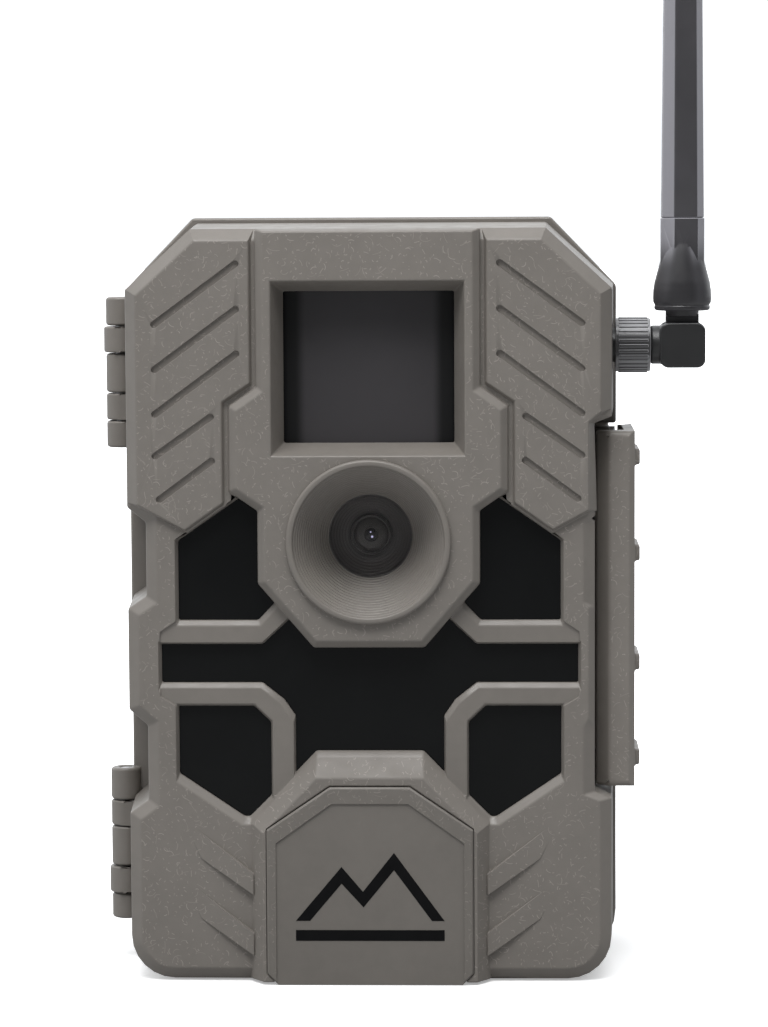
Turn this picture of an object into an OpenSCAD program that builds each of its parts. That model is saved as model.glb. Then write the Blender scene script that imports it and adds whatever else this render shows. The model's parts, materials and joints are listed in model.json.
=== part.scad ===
// Trail camera: strap-on rear case, hinged camera door, side latch and swivel antenna.
// +Z up, the camera looks along -Y, +X is the latch side.
// The origin is the mouth of the tripod socket in the middle of the underside.

/* [Case] */
// Half width of the case at the parting rim
rim_half_w = 45.6; // [44.8:0.1:47]
// Height of the case
case_h = 140; // [139.5:0.5:142]
// Distance from the tripod socket forward to the parting plane
part_to_socket = 13; // [12:0.5:14]
// Depth of the rear case behind the parting plane
rear_depth = 27; // [26:0.5:30]
// Thickness of the case walls
wall = 2.3; // [2:0.1:2.6]
// Gap between the closed door and the rear case
seam_gap = 0.15; // [0.1:0.05:0.3]

/* [Door] */
// Half width of the door at its front edge
door_half_w = 44.2; // [43.8:0.1:44.6]
// Width of the chamfer round the door's front
edge_chamfer = 2.1; // [1.5:0.1:2.4]
// Height of the frame face in front of the parting plane
frame_d = 21.2; // [20.8:0.1:21.6]
// Step from the frame up to the upper wings
wing_step = 1.0; // [0.6:0.1:1.2]
// Step from the frame up to the centre panel
panel_step = 2.2; // [1.8:0.1:2.4]
// Step from the frame up to the badge block
badge_step = 3.0; // [2.6:0.1:3.2]
// Draft of the door's side walls over their depth
draft = 0.9; // [0.5:0.1:1]

/* [Lens] */
// Height of the lens axis
lens_z = 81.5; // [81:0.5:82]
// Outer radius of the lens bezel
bezel_r = 15; // [14.6:0.1:15.4]
// Number of fine rings moulded in the bezel's cone
bezel_rings = 15; // [8:1:18]
// Rows of infrared LEDs in each window
led_rows = 3; // [2:1:3]

/* [Hinge] */
// Outer radius of the hinge knuckles
knuckle_r = 2.8; // [2.6:0.1:2.9]
// Radius of the hinge and latch pins
pin_r = 1.0; // [0.8:0.1:1.1]
// Running clearance round each pin
pin_clear = 0.05; // [0.03:0.01:0.08]

/* [Latch] */
// Lowest point of the latch lever
latch_z0 = 35.4; // [35.4:0.1:36]
// Length of the latch lever
latch_len = 65.6; // [65.2:0.1:66.4]
// Distance of the two inner grip nubs from the middle of the row of nubs
nub_inner = 10.1; // [9.5:0.1:11]
// Distance of the two outer grip nubs from the middle of the row of nubs
nub_outer = 27.8; // [27:0.1:28.2]

/* [Antenna] */
// Height of the antenna's axis
antenna_z = 116.5; // [115:0.5:118]
// Length of the antenna above its tilt pivot
whip_len = 160; // [120:5:190]
// Radius of the knurled nut
nut_r = 5.1; // [4.9:0.1:5.3]

/* [Batteries] */
// Diameter of an AA cell
cell_d = 14.5; // [13.5:0.1:14.5]
// Length of an AA cell
cell_len = 50.5; // [49.5:0.1:50.5]
// Distance between neighbouring cells
cell_pitch = 15.3; // [15.1:0.1:15.4]

/* [Mounts] */
// Radius of the tripod thread's crest bore, quarter inch by twenty
tripod_r = 2.6; // [2.5:0.05:2.7]
// Depth of the tripod thread
tripod_depth = 8; // [7:0.5:8.5]
// Height of the slots for a 25 mm strap
strap_slot_h = 27; // [26:0.5:30]
// Radius of the hole for a locking cable
cable_r = 3.2; // [2.5:0.1:3.4]

/* [Hidden] */
$fn = 48;
eps = 0.01;
part_y = -part_to_socket;

// Heights above the parting plane, towards the front
edge_d = frame_d - 1.4;
wing_d = frame_d + wing_step;
panel_d = frame_d + panel_step;
badge_d = frame_d + badge_step;
skin_d = 17.6;
window_d = 19.4;
inner_panel_d = 1.0;
main_board_d = 7;
led_board_d = 12.8;
board_t = 1.6;

// Plan positions
hinge_x = -47;
latch_pin_x = 44.6;
latch_pin_y = 6.5;
latch_recess_x = 41.1;
antenna_d = 9;
elbow_x = 57.4;
bezel_lip_d = panel_d + 1.1;
upper_hinge_z = [125.5, 120, 115, 107.5, 102.4, 97.2];
lower_hinge_z = [36.7, 30.5, 25.6, 17.9, 12.75, 7.8];
post_spots = [for (p = [[37.5, 12], [35.2, 92.5], [31.5, 131.5]], side = [-1, 1]) [side * p.x, p.y]];
tray_screw_z = 67.9;
button_gap = 9.5;
keypad_z = 60;

// Colours
taupe = [0.45, 0.43, 0.40];
black = [0.05, 0.05, 0.055];
steel = [0.72, 0.73, 0.75];
brass = [0.78, 0.62, 0.32];
board_green = [0.07, 0.28, 0.16];

// ---------- outline helpers ----------

function arc(centre, r, from, to, steps) =
    [for (i = [0:steps]) let (a = from + (to - from) * i / steps) centre + r * [cos(a), sin(a)]];
function flip(points) = [for (i = [len(points) - 1:-1:0]) [-points[i].x, points[i].y]];
function outward(p, q) = [q.y - p.y, p.x - q.x] / norm(q - p);
function corner(a, b, c, da, db) =
    let (m = outward(a, b), n = outward(b, c), k = m * n)
    abs(k) > 0.9999 ? b + m * da : b + ((da - k * db) * m + (db - k * da) * n) / (1 - k * k);

// Moves edge i, which runs from point i to the next, outwards by distances[i].
function grown(points, distances) =
    let (n = len(points))
    [for (i = [0:n - 1])
        let (last = (i + n - 1) % n)
        corner(points[last], points[i], points[(i + 1) % n], distances[last], distances[i])];
function grown_by(points, distance) = grown(points, [for (p = points) distance]);

// A solid through a stack of outlines, each given as [points, depth in front of the parting plane].
module stack(layers) {
    n = len(layers[0][0]);
    top = (len(layers) - 1) * n;
    points = [for (layer = layers) for (p = layer[0]) [p.x, part_y - layer[1], p.y]];
    sides = [for (k = [0:len(layers) - 2]) for (i = [0:n - 1])
        let (j = (i + 1) % n) [k * n + i, k * n + n + i, k * n + n + j, k * n + j]];
    polyhedron(points, concat([[for (i = [0:n - 1]) i]], sides, [[for (i = [n - 1:-1:0]) top + i]]));
}

// Extrudes a front-view sketch between two depths in front of the parting plane.
module slab(from, to) {
    translate([0, part_y - from, 0]) rotate([90, 0, 0]) linear_extrude(to - from) children();
}

// Cuts its children flat at two depths.
module trimmed(from, to) {
    intersection() {
        children();
        slab(from, to) translate([0, case_h / 2]) square(2 * case_h, center = true);
    }
}

module box(x, d, z) {
    translate([x[0], part_y - d[1], z[0]]) cube([x[1] - x[0], d[1] - d[0], z[1] - z[0]]);
}

module round_bar(x, z, r, from, to) {
    slab(from, to) translate([x, z]) circle(r);
}

module upright(x, y, r, z0, z1) {
    translate([x, part_y + y, z0]) cylinder(r = r, h = z1 - z0);
}

// ---------- shared outlines, seen from the front ----------

corner_r = 8;
corner_steps = 6;
base_z = 0.4;
notch_x = door_half_w - 3.4;
door_side = concat(
    arc([door_half_w - corner_r, base_z + corner_r], corner_r, -90, 0, corner_steps),
    [[door_half_w, 34], [latch_recess_x, 35.2], [latch_recess_x, 47.4], [latch_recess_x, 50.4],
     [latch_recess_x, 69.3], [latch_recess_x, 71.3], [latch_recess_x, 84.8], [latch_recess_x, 86.6],
     [latch_recess_x, 102.8], [door_half_w, 104], [door_half_w, 127.2], [32.2, 138.2]]);
hinge_side = concat(
    [[-32.2, 138.2], [-door_half_w, 127.2], [-door_half_w, 87.6], [-notch_x, 84.9],
     [-notch_x, 71.3], [-door_half_w, 69], [-door_half_w, 50.4], [-notch_x, 47.4],
     [-notch_x, 33.7], [-door_half_w, 31.2]],
    arc([-door_half_w + corner_r, base_z + corner_r], corner_r, 180, 270, corner_steps));
door_outline = concat(door_side, hinge_side);
door_count = len(door_outline);

// Edges that lie beside the latch get no draft, and a narrower chamfer except level with the notches.
function beside_latch(p) = p.x > 38 && p.y > 30 && p.y < 103.5;
function at_notch(z) = z > 35 && z < 47 || z > 69 && z < 84;
door_chamfer = [for (p = door_outline) beside_latch(p) && !at_notch(p.y) ? -1.1 : -edge_chamfer];
function side_draft(p, q) = p.y < 9 ? draft * (1 + 2 * abs(outward(p, q).x)) / 3 : draft;
door_draft = [for (i = [0:door_count - 1])
    let (p = door_outline[i]) beside_latch(p) ? 0 : side_draft(p, door_outline[(i + 1) % door_count])];

rim_corner = 9.4;
rim_side = concat(
    arc([rim_half_w - rim_corner, rim_corner], rim_corner, -90, 0, corner_steps),
    [[rim_half_w, 127.3], [33.4, case_h]]);
rim_outline = concat(rim_side, flip(rim_side));

panel_right = [[9.5, 63.4], [18.9, 74.3], [18.9, 87.8], [24, 91.3], [24, 105.4], [19, 108.9],
               [19, 137.7]];
panel_outline = concat(panel_right, flip(panel_right));

upper_window = [[20.3, 66.9], [34.9, 66.9], [34.9, 81.5], [23.5, 89.4], [18, 86], [17.4, 70]];
lower_window = [[35, 38.6], [35, 51.1], [21.2, 51.1], [18.1, 48.1], [18.1, 34.6], [22.1, 30.6],
                [23.1, 30.6]];
cross_right = [[13.6, 36], [13.6, 49.3], [15.7, 52.3], [19.6, 55.4], [38.1, 55.4], [38.1, 62.5],
               [19.5, 62.5], [14.6, 67.1]];
cross_window = concat(cross_right, flip(cross_right));

badge_foot = [[-22.2, 0.5], [22.2, 0.5], [22.2, 29.9], [9.8, 42.8], [-9.8, 42.8], [-22.2, 29.9]];
badge_plate_outline = [[-16.9, 0.1], [16.9, 0.1], [18.9, 2.2], [18.9, 28.8], [7.3, 36.7],
                       [-7.3, 36.7], [-18.9, 28.8], [-18.9, 2.2]];

module both_sides() {
    children();
    mirror([1, 0, 0]) children();
}

// ---------- rear case ----------

rear_inner = grown_by(door_outline, -3.6);
seal_outer = grown_by(door_outline, -0.8);
seal_inner = grown_by(door_outline, -2.2);

module ring_sketch(outer, inner) {
    difference() {
        polygon(outer);
        polygon(inner);
    }
}

// The outermost knuckle of the door on each hinge is a little larger than the others.
function knuckle_size(levels, i) =
    knuckle_r + (levels == upper_hinge_z && i == 1 || levels == lower_hinge_z && i == 3 ? 0.4 : 0);

module knuckles(levels, first) {
    for (i = [first:2:4]) {
        high = levels[i] - 0.1;
        low = levels[i + 1] + 0.1;
        side = first == 0 ? [-knuckle_r, -seam_gap] : [seam_gap, knuckle_r];
        upright(hinge_x, 0, knuckle_size(levels, i), low, high);
        box([hinge_x, -43.4], side, [low, high]);
    }
}

module knuckle_room(levels, first) {
    for (i = [first:2:4])
        upright(hinge_x, 0, knuckle_size(levels, i) + 0.3, levels[i + 1] - 0.05, levels[i] + 0.05);
}

module hinge_bores() {
    upright(hinge_x, 0, pin_r + pin_clear, 9, upper_hinge_z[0] + 1);
}

// The tub is set in from the rim, except along the flat underside.
function set_in(amount) = grown(rim_outline, [for (p = rim_outline) -amount * min(1, p.y / 6)]);

latch_z1 = latch_z0 + latch_len;
ear_z = [[latch_z0 + 0.4, latch_z0 + 3.8], [latch_z1 - 3.8, latch_z1 - 0.4]];
ear_room_z = [[latch_z0 - 1, latch_z0 + 4.1], [latch_z1 - 4.1, latch_z1 + 1]];

// The two ears that hold the latch's pin, or the room around them inside the lever.
module latch_ears(r, spans) {
    for (z = spans) {
        upright(latch_pin_x, latch_pin_y, r, z[0], z[1]);
        box([latch_recess_x - 1, latch_pin_x], [-latch_pin_y - r, -latch_pin_y + r], z);
    }
}

module rear_case() {
    floor_d = -rear_depth + wall;
    color(taupe) difference() {
        union() {
            difference() {
                union() {
                    stack([[rim_outline, -3.4], [rim_outline, 0]]);
                    stack([[set_in(6), -rear_depth], [set_in(1.1), -rear_depth + 5], [set_in(1.1), -3]]);
                }
                slab(floor_d, 1) polygon(rear_inner);
            }
            // boss for the tripod insert, posts for the tray, floor pad for the power jack
            upright(0, part_to_socket, 6.2, 0.5, 9.4);
            for (x = [-1, 1]) round_bar(x * cell_pitch, tray_screw_z, 3, floor_d - 0.5, -22.6);
            box([15, 33], [-20.5, -5.5], [0.5, 4.2]);
            knuckles(upper_hinge_z, 0);
            knuckles(lower_hinge_z, 0);
        }
        difference() {
            box([latch_recess_x + 0.2, 50], [-11.2, 1], [latch_z0 - 0.5, latch_z1 + 0.5]);
            latch_ears(2.5, ear_z);
        }
        upright(latch_pin_x, latch_pin_y, pin_r + pin_clear, latch_z0, latch_z1);
        knuckle_room(upper_hinge_z, 1);
        knuckle_room(lower_hinge_z, 1);
        hinge_bores();
        slab(-1.4, 1) ring_sketch(seal_outer, seal_inner);
        upright(0, part_to_socket, 4.02, -1, tripod_depth + 0.4);
        upright(24, part_to_socket, 3.1, -1, 6);
        box([17.6, 29.4], [-part_to_socket - 4.2, -part_to_socket + 4.2], [-1, 1.9]);
        for (x = [-1, 1]) round_bar(x * cell_pitch, tray_screw_z, 0.9, -rear_depth + 1, -20);
        for (x = [-1, 1], z = [-1, 1])
            round_bar(x * 14, bracket_z + z * 26, 1.35, -rear_depth - 1, -rear_depth + 4);
    }
}

module gasket() {
    color(black) slab(-1.35, -0.02)
        ring_sketch(grown_by(seal_outer, -0.1), grown_by(seal_inner, 0.1));
}

module tripod_insert() {
    color(brass) difference() {
        union() {
            cylinder(r = 3.95, h = tripod_depth);
            for (z = [1.5, 4.5]) translate([0, 0, z]) cylinder(r = 4, h = 1.6);
        }
        translate([0, 0, -1]) cylinder(r = tripod_r, h = tripod_depth + 2);
    }
}

// ---------- strap bracket ----------

bracket_z = 72;
bracket_h = 72;
bracket_half_w = 27;
bracket_t = 2.4;
rib_x = 21;
rib_t = 3.6;
rib_out = 12;
slot_room = 5;

module rib() {
    teeth = 9;
    pitch = (bracket_h - 6) / teeth;
    low = bracket_z - (bracket_h - 6) / 2;
    y0 = part_y + rear_depth + 1;
    profile = concat([[y0, low + teeth * pitch], [y0, low]],
        [for (i = [0:teeth - 1]) each [[y0 + rib_out - 3, low + i * pitch],
                                       [y0 + rib_out - 1, low + (i + 0.5) * pitch]]],
        [[y0 + rib_out - 3, low + teeth * pitch]]);
    translate([rib_x, 0, 0]) rotate([90, 0, 90]) linear_extrude(rib_t) polygon(profile);
}

module strap_bracket() {
    back = -rear_depth;
    half_h = bracket_h / 2;
    right = [[bracket_half_w - 4, -half_h], [bracket_half_w, 6 - half_h], [bracket_half_w, half_h - 6],
             [bracket_half_w - 4, half_h]];
    color(taupe) difference() {
        union() {
            slab(back - bracket_t, back) translate([0, bracket_z]) polygon(concat(right, flip(right)));
            both_sides() rib();
        }
        box([-40, 40], [back - bracket_t - slot_room, back - bracket_t],
            [bracket_z - strap_slot_h / 2, bracket_z + strap_slot_h / 2]);
        translate([-40, part_y + rear_depth + bracket_t + cable_r + 0.6, bracket_z - 25])
            rotate([0, 90, 0]) cylinder(r = cable_r, h = 80);
        for (x = [-1, 1], z = [-1, 1]) {
            round_bar(x * 14, bracket_z + z * 26, 1.6, back - 20, back + 1);
            round_bar(x * 14, bracket_z + z * 26, 2.9, back - 20, back - 1.2);
        }
    }
}

module pan_screw(x, z, head_r, shank_r, head_d, length, direction) {
    head_h = head_r * 0.55;
    translate([x, part_y - head_d, z]) rotate([direction > 0 ? 90 : -90, 0, 0]) difference() {
        union() {
            translate([0, 0, -head_h]) cylinder(r1 = head_r * 0.8, r2 = head_r, h = head_h * 0.6);
            translate([0, 0, -head_h * 0.4]) cylinder(r = head_r, h = head_h * 0.4);
            translate([0, 0, -eps]) cylinder(r = shank_r, h = length);
        }
        for (a = [0, 90]) rotate([0, 0, a])
            translate([-head_r * 0.6, -head_r * 0.13, -head_h - 1])
                cube([head_r * 1.2, head_r * 0.26, 1.5]);
    }
}

module bracket_screws() {
    color(steel) for (x = [-1, 1], z = [-1, 1])
        pan_screw(x * 14, bracket_z + z * 26, 2.6, 1.3, -rear_depth - 1.2, 4.8, 1);
}

// ---------- batteries ----------

bay_z = [11.6, 69.6];
bay_len = 54.6;
cell_y = 12.4;
columns = [for (i = [0:3]) (i - 1.5) * cell_pitch];

module battery_tray() {
    half_w = 2 * cell_pitch + 1.2;
    color(black) difference() {
        union() {
            box([-half_w, half_w], [-22.5, -13], [10, 125.8]);
            for (levels = [[10, 11.6], [66.2, 69.6], [124.2, 125.8]])
                box([-half_w, half_w], [-22.5, -4.4], levels);
            both_sides() box([half_w - 1.4, half_w], [-22.5, -6], [10, 125.8]);
            box([-half_w - 4, -half_w + 1], [-16, -4.4], [56, 79]);
        }
        for (x = columns, z = bay_z) upright(x, cell_y, cell_d / 2 + 0.25, z, z + bay_len);
        for (x = [-1, 1]) round_bar(x * cell_pitch, tray_screw_z, 1.2, -23, 0);
    }
}

module tray_screws() {
    color(steel) for (x = [-1, 1]) pan_screw(x * cell_pitch, tray_screw_z, 1.9, 0.85, -4.38, 21, -1);
}

module battery_cells() {
    color([0.16, 0.17, 0.19]) for (i = [0:3], z = bay_z) {
        up = i % 2 == 0;
        low = z + (up ? 3.7 : 0.45);
        x = columns[i];
        upright(x, cell_y, cell_d / 2, low + (up ? 0 : 1), low + cell_len - (up ? 1 : 0) - 0.5);
        upright(x, cell_y, 2.6, low, low + cell_len - 0.45);
    }
}

module coil(turns, steps, r0, r1, height, wire) {
    count = turns * steps;
    sides = 6;
    rise = height - 2 * wire;
    points = [for (i = [0:count]) let (a = 360 * i / steps, r = r0 + (r1 - r0) * i / count)
        for (k = [0:sides - 1]) let (b = 360 * k / sides, q = r + wire * cos(b))
            [q * cos(a), q * sin(a), wire + rise * i / count + wire * sin(b)]];
    faces = [for (i = [0:count - 1], k = [0:sides - 1])
        let (m = (k + 1) % sides, row = i * sides, next = row + sides)
            [row + k, row + m, next + m, next + k]];
    first = [for (k = [sides - 1:-1:0]) k];
    last = [for (k = [0:sides - 1]) count * sides + k];
    polyhedron(points, concat([first], faces, [last]));
}

module battery_springs() {
    color(steel) for (i = [0:3], z = bay_z) {
        up = i % 2 == 0;
        translate([columns[i], part_y + cell_y, up ? z + 0.45 : z + bay_len - 0.45])
            mirror([0, 0, up ? 0 : 1]) coil(3, 10, 4.6, 2.4, 3.2, 0.35);
    }
}

module battery_contacts() {
    color(steel) for (x = columns, z = bay_z, end = [0, bay_len - 0.4])
        translate([x - 5, part_y + cell_y - 5, z + end]) cube([10, 10, 0.4]);
}

contact_z = [60, 67.5, 75];

module power_pads() {
    color(brass) for (z = contact_z) box([-35, -32.6], [-4.35, -3.6], [z - 2, z + 2]);
}

module power_pins() {
    color(brass) for (z = contact_z) {
        round_bar(-33.8, z, 0.7, -3.4, main_board_d);
        round_bar(-33.8, z, 1.2, -1.2, main_board_d - 0.6);
    }
}

// ---------- power jack ----------

module dc_jack() {
    color([0.1, 0.1, 0.11]) difference() {
        union() {
            upright(24, part_to_socket, 3.05, 2.3, 9);
            box([19.5, 28.5], [-part_to_socket - 4.4, -part_to_socket + 4.4], [4.3, 9.6]);
        }
        upright(24, part_to_socket, 2.6, 2, 8.6);
    }
    color(steel) upright(24, part_to_socket, 1, 3.4, 9.2);
}

module dc_jack_plug() {
    color(black) union() {
        box([19.2, 29.1], [-part_to_socket - 3.9, -part_to_socket + 3.9], [0.35, 1.65]);
        upright(24, part_to_socket, 2.3, 1.5, 3.2);
        translate([18.8, part_y + part_to_socket - 3.9, 1]) rotate([-90, 0, 0]) cylinder(r = 0.65, h = 7.8);
    }
}

// ---------- pins and latch ----------

module hinge_pins() {
    color(steel) {
        upright(hinge_x, 0, pin_r, upper_hinge_z[5] + 0.6, upper_hinge_z[0] - 0.3);
        upright(hinge_x, 0, pin_r, 9.2, lower_hinge_z[0] - 0.3);
    }
}

module latch_pin() {
    color(steel) upright(latch_pin_x, latch_pin_y, pin_r, latch_z0 + 0.5, latch_z1 - 0.5);
}

latch_face_x = 48.55;

// Side view of the lever, with its two front corners rounded.
module lever_side() {
    r = 1.2;
    outline = concat([[10, 0], [10, latch_len]], arc([r - 16, latch_len - r], r, 90, 180, 4),
                     arc([r - 16, r], r, 180, 270, 4));
    translate([latch_recess_x, part_y, latch_z0]) rotate([90, 0, 90]) linear_extrude(12) polygon(outline);
}

module latch_lever() {
    middle = latch_z0 + latch_len / 2 + 0.15;
    outline = [[latch_face_x, latch_pin_y], [latch_pin_x + 1.6, latch_pin_y + 1.8],
               [latch_pin_x, latch_pin_y + 0.5], [latch_pin_x, latch_pin_y - 2.3],
               [latch_face_x - 2, latch_pin_y - 4.6], [latch_face_x - 2, -11], [41.45, -11.6],
               [41.45, -13.4], [43.9, -16], [47.5, -16], [latch_face_x, -15]];
    web = [[42.6, -12], [latch_face_x - 1, -12], [latch_face_x - 1, 4.6], [45, 4.6]];
    color(taupe) difference() {
        union() {
            intersection() {
                translate([0, part_y, latch_z0]) linear_extrude(latch_len) polygon(outline);
                lever_side();
            }
            upright(latch_pin_x, latch_pin_y, 2.4, latch_z0, latch_z1);
            for (z = [latch_z0 + 2.2, middle - 11.7, middle + 9.9, latch_z1 - 4])
                translate([0, part_y, z]) linear_extrude(1.8) polygon(web);
            for (side = [-1, 1], reach = [nub_inner, nub_outer])
                box([latch_face_x - 0.5, latch_face_x + 1], [1, 13.4],
                    [middle + side * reach - 1.5, middle + side * reach + 1.5]);
        }
        upright(latch_pin_x, latch_pin_y, pin_r + pin_clear, 0, case_h);
        latch_ears(3.9, ear_room_z);
    }
}

// ---------- front cover ----------

module wing(face, feet) {
    top = grown(face, -0.25 * feet);
    trimmed(edge_d - 1, wing_d) stack([[grown(face, feet), edge_d], [top, wing_d + (wing_d - edge_d) / 4]]);
}

module hinge_wing() {
    side_x = door_half_w - edge_chamfer;
    face = [[-26.6, 88.5], [-26.6, 106.9], [-21.5, 110.3], [-21.5, 136.1], [-31.4, 136.1],
            [-side_x, 126.3], [-side_x, 88.2], [-33.5, 83.6]];
    wing(face, [0.9, 0.9, 0.9, edge_chamfer, edge_chamfer, edge_chamfer, 0.7, 0.95]);
}

module latch_wing() {
    side_x = door_half_w - edge_chamfer;
    face = [[26.6, 88.5], [33.5, 83.6], [39.9, 87.1], [39.9, 103], [side_x, 104.9],
            [side_x, 126.3], [31.4, 136.1], [21.5, 136.1], [21.5, 110.3], [26.6, 106.9]];
    wing(face, [0.95, 0.7, 1.15, 0.9, edge_chamfer, edge_chamfer, edge_chamfer, 0.9, 0.9, 0.9]);
}

module centre_panel() {
    spread = [for (p = panel_outline) p.y > 137 && p.x > 0 ? 0.5 : 1.35];
    foot = grown(panel_outline, spread);
    top = grown(panel_outline, -0.4 * spread);
    trimmed(skin_d, panel_d)
        stack([[foot, skin_d + 0.4], [foot, panel_d - 1.25], [top, panel_d + 0.5]]);
}

module badge_block() {
    shoulder = grown(badge_foot, [0, -0.5, -0.7, -0.9, -0.7, -0.5]);
    top = grown(shoulder, [0, -2.1, -2.4, -3.6, -2.4, -2.1]);
    stack([[badge_foot, skin_d + 0.4], [badge_foot, frame_d - 1], [shoulder, frame_d + 0.2],
           [top, badge_d]]);
}

module grooves() {
    starts = [[-38.7, 121], [-38.7, 112.8], [-38.7, 104.7], [-38.7, 97.1], [-38, 89.2]];
    ends = [[-23.9, 131.9], [-23.9, 123.7], [-23.9, 115.6], [-28.6, 104.2], [-28.5, 96.2]];
    for (i = [0:4]) {
        run = ends[i] - starts[i];
        slab(wing_d - 0.6, wing_d + 1) translate(starts[i]) rotate(atan2(run.y, run.x)) {
            translate([0, -0.65]) square([norm(run), 1.3]);
            circle(0.65, $fn = 24);
            translate([norm(run), 0]) circle(0.65, $fn = 24);
        }
    }
}

// A wedge rib that rises out of the frame from its outer end to its full height beside the badge.
module wedge_rib(outline) {
    reach = outline[1].x - outline[0].x;
    function rise(p) = 1.2 * (p.x - outline[0].x) / reach - 0.15;
    foot = [for (p = outline) [p.x, part_y - frame_d + 0.6, p.y]];
    top = [for (p = outline) [p.x, part_y - frame_d - rise(p), p.y]];
    polyhedron(concat(foot, top),
        [[0, 3, 2, 1], [4, 5, 6, 7], [0, 1, 5, 4], [1, 2, 6, 5], [2, 3, 7, 6], [3, 0, 4, 7]]);
}

module wedge_ribs() {
    wedge_rib([[-34.5, 30.3], [-21.4, 20.2], [-21.4, 16.3], [-31.1, 23]]);
    wedge_rib([[-33.9, 18.7], [-21.4, 9.2], [-21.4, 5], [-31.2, 11.9]]);
}

// The window bars lie a little below the frame around them.
bar_step = 0.4;
bar_right = [[19.5, 34.5], [35, 44], [35, 50.9], [38.3, 52.9], [38.3, 64.8], [34.9, 67], [34.9, 75],
             [18, 86]];

module bar_pocket() {
    slab(frame_d - bar_step, frame_d + 1) polygon(concat(bar_right, flip(bar_right)));
}

// An opening with straight walls and a bevelled front edge, wider on its sills.
module opening(outline) {
    n = len(outline);
    bevels = [for (i = [0:n - 1])
        let (m = outward(outline[i], outline[(i + 1) % n])) m.y < -0.5 ? 0.95 : 0.35];
    slab(skin_d - 1, frame_d + 0.6) polygon(outline);
    stack([[outline, frame_d - bar_step - 0.8], [grown(outline, 1.75 * bevels), frame_d - bar_step + 0.6]]);
}

ir_right = [[36.4, 29.2], [36.4, 53.4], [39.4, 53.4], [39.4, 64.5], [36.4, 64.5], [36.4, 90.6]];
ir_outline = concat(ir_right, flip(ir_right));

motion_half_w = 15.6;
motion_z = [99.1, 126.8];

function frame_rect(grow) =
    let (w = motion_half_w + grow, low = motion_z[0] - grow, high = motion_z[1] + grow)
    [[-w, low], [w, low], [w, high], [-w, high]];

module front_cover() {
    door_top = grown(door_outline, 2 * door_chamfer);
    door_back = grown(door_outline, door_draft);
    cavity = grown_by(door_outline, -wall - 0.1);
    tunnel_d = 16.9;
    color(taupe) difference() {
        union() {
            difference() {
                trimmed(seam_gap, frame_d)
                    stack([[door_back, seam_gap - 1], [door_outline, edge_d],
                           [door_top, 2 * frame_d - edge_d]]);
                slab(-1, skin_d) polygon(cavity);
                for (outline = [upper_window, lower_window]) {
                    opening(outline);
                    opening(flip(outline));
                }
                opening(cross_window);
                bar_pocket();
            }
            hinge_wing();
            latch_wing();
            centre_panel();
            badge_block();
            both_sides() wedge_ribs();
            slab(15.6, skin_d + 1) polygon(frame_rect(2.6));
            for (p = post_spots) round_bar(p.x, p.y, 2.6, 3.1, skin_d + 0.5);
            knuckles(upper_hinge_z, 1);
            knuckles(lower_hinge_z, 1);
        }
        // pocket for the dark window panel
        slab(skin_d - 2, window_d) polygon(ir_outline);
        // grooves in both wings
        both_sides() grooves();
        // tapered well of the motion sensor's lens
        stack([[frame_rect(0), tunnel_d], [frame_rect(1.95), panel_d], [frame_rect(1.95), panel_d + 1]]);
        slab(15, tunnel_d + 0.1) polygon(frame_rect(0));
        slab(15, 16.2) polygon(frame_rect(1.3));
        round_bar(0, lens_z, bezel_r - 0.7, 10, panel_d + 1);
        slab(badge_d - 1.6, badge_d + 1) polygon(grown_by(badge_plate_outline, 0.12));
        box([-16.5, 16.5], [badge_d - 1.6, badge_d + 1], [-1, 1]);
        for (p = post_spots) round_bar(p.x, p.y, 0.85, 2, 13);
        knuckle_room(upper_hinge_z, 0);
        knuckle_room(lower_hinge_z, 0);
        hinge_bores();
        translate([40, part_y - antenna_d, antenna_z]) rotate([0, 90, 0]) cylinder(r = 3.3, h = 10);
    }
}

module badge_plate() {
    dip = [[-17.2, -1], [17.2, -1], [17.2, 26.3], [7, 33.6], [-7, 33.6], [-17.2, 26.3]];
    color(taupe) difference() {
        stack([[badge_plate_outline, badge_d - 1.55], [badge_plate_outline, badge_d + 0.1],
               [grown_by(badge_plate_outline, -0.3), badge_d + 0.4]]);
        slab(badge_d + 0.12, badge_d + 2) polygon(dip);
    }
}

module ir_window() {
    color([0.02, 0.02, 0.03]) difference() {
        slab(skin_d + 0.2, window_d - 0.02) polygon(grown_by(ir_outline, -0.15));
        round_bar(0, lens_z, bezel_r - 0.6, 0, 30);
    }
}

// ---------- lens ----------

module lens_bezel() {
    mouth_r = 13.8;
    throat_r = 7.75;
    throat_d = 12;
    steps = bezel_rings;
    lip = bezel_lip_d;
    cone = [for (i = [0:steps - 1]) let (r = mouth_r + (throat_r - mouth_r) * i / steps,
        d = lip - 0.3 + (throat_d - lip + 0.3) * i / steps, dn = (throat_d - lip + 0.3) / steps)
        each [[r, d], [r - 0.08, d + dn * 0.75]]];
    profile = concat([[bezel_r - 0.5, lip - 0.1], [bezel_r - 0.9, lip], [mouth_r + 0.3, lip]], cone,
        [[throat_r, throat_d], [8, throat_d], [8, 9.8], [9.5, 9.8], [9.5, 15.3], [bezel_r - 0.8, 15.3],
         [bezel_r - 0.8, panel_d + 0.05], [bezel_r, panel_d + 0.05], [bezel_r, lip - 0.5]]);
    color(taupe) translate([0, part_y, lens_z]) rotate([90, 0, 0])
        rotate_extrude($fn = 96) polygon(profile);
}

module lens_glass() {
    color([0.1, 0.11, 0.14, 0.6]) round_bar(0, lens_z, 7.9, 10.8, 11.95);
}

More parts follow.
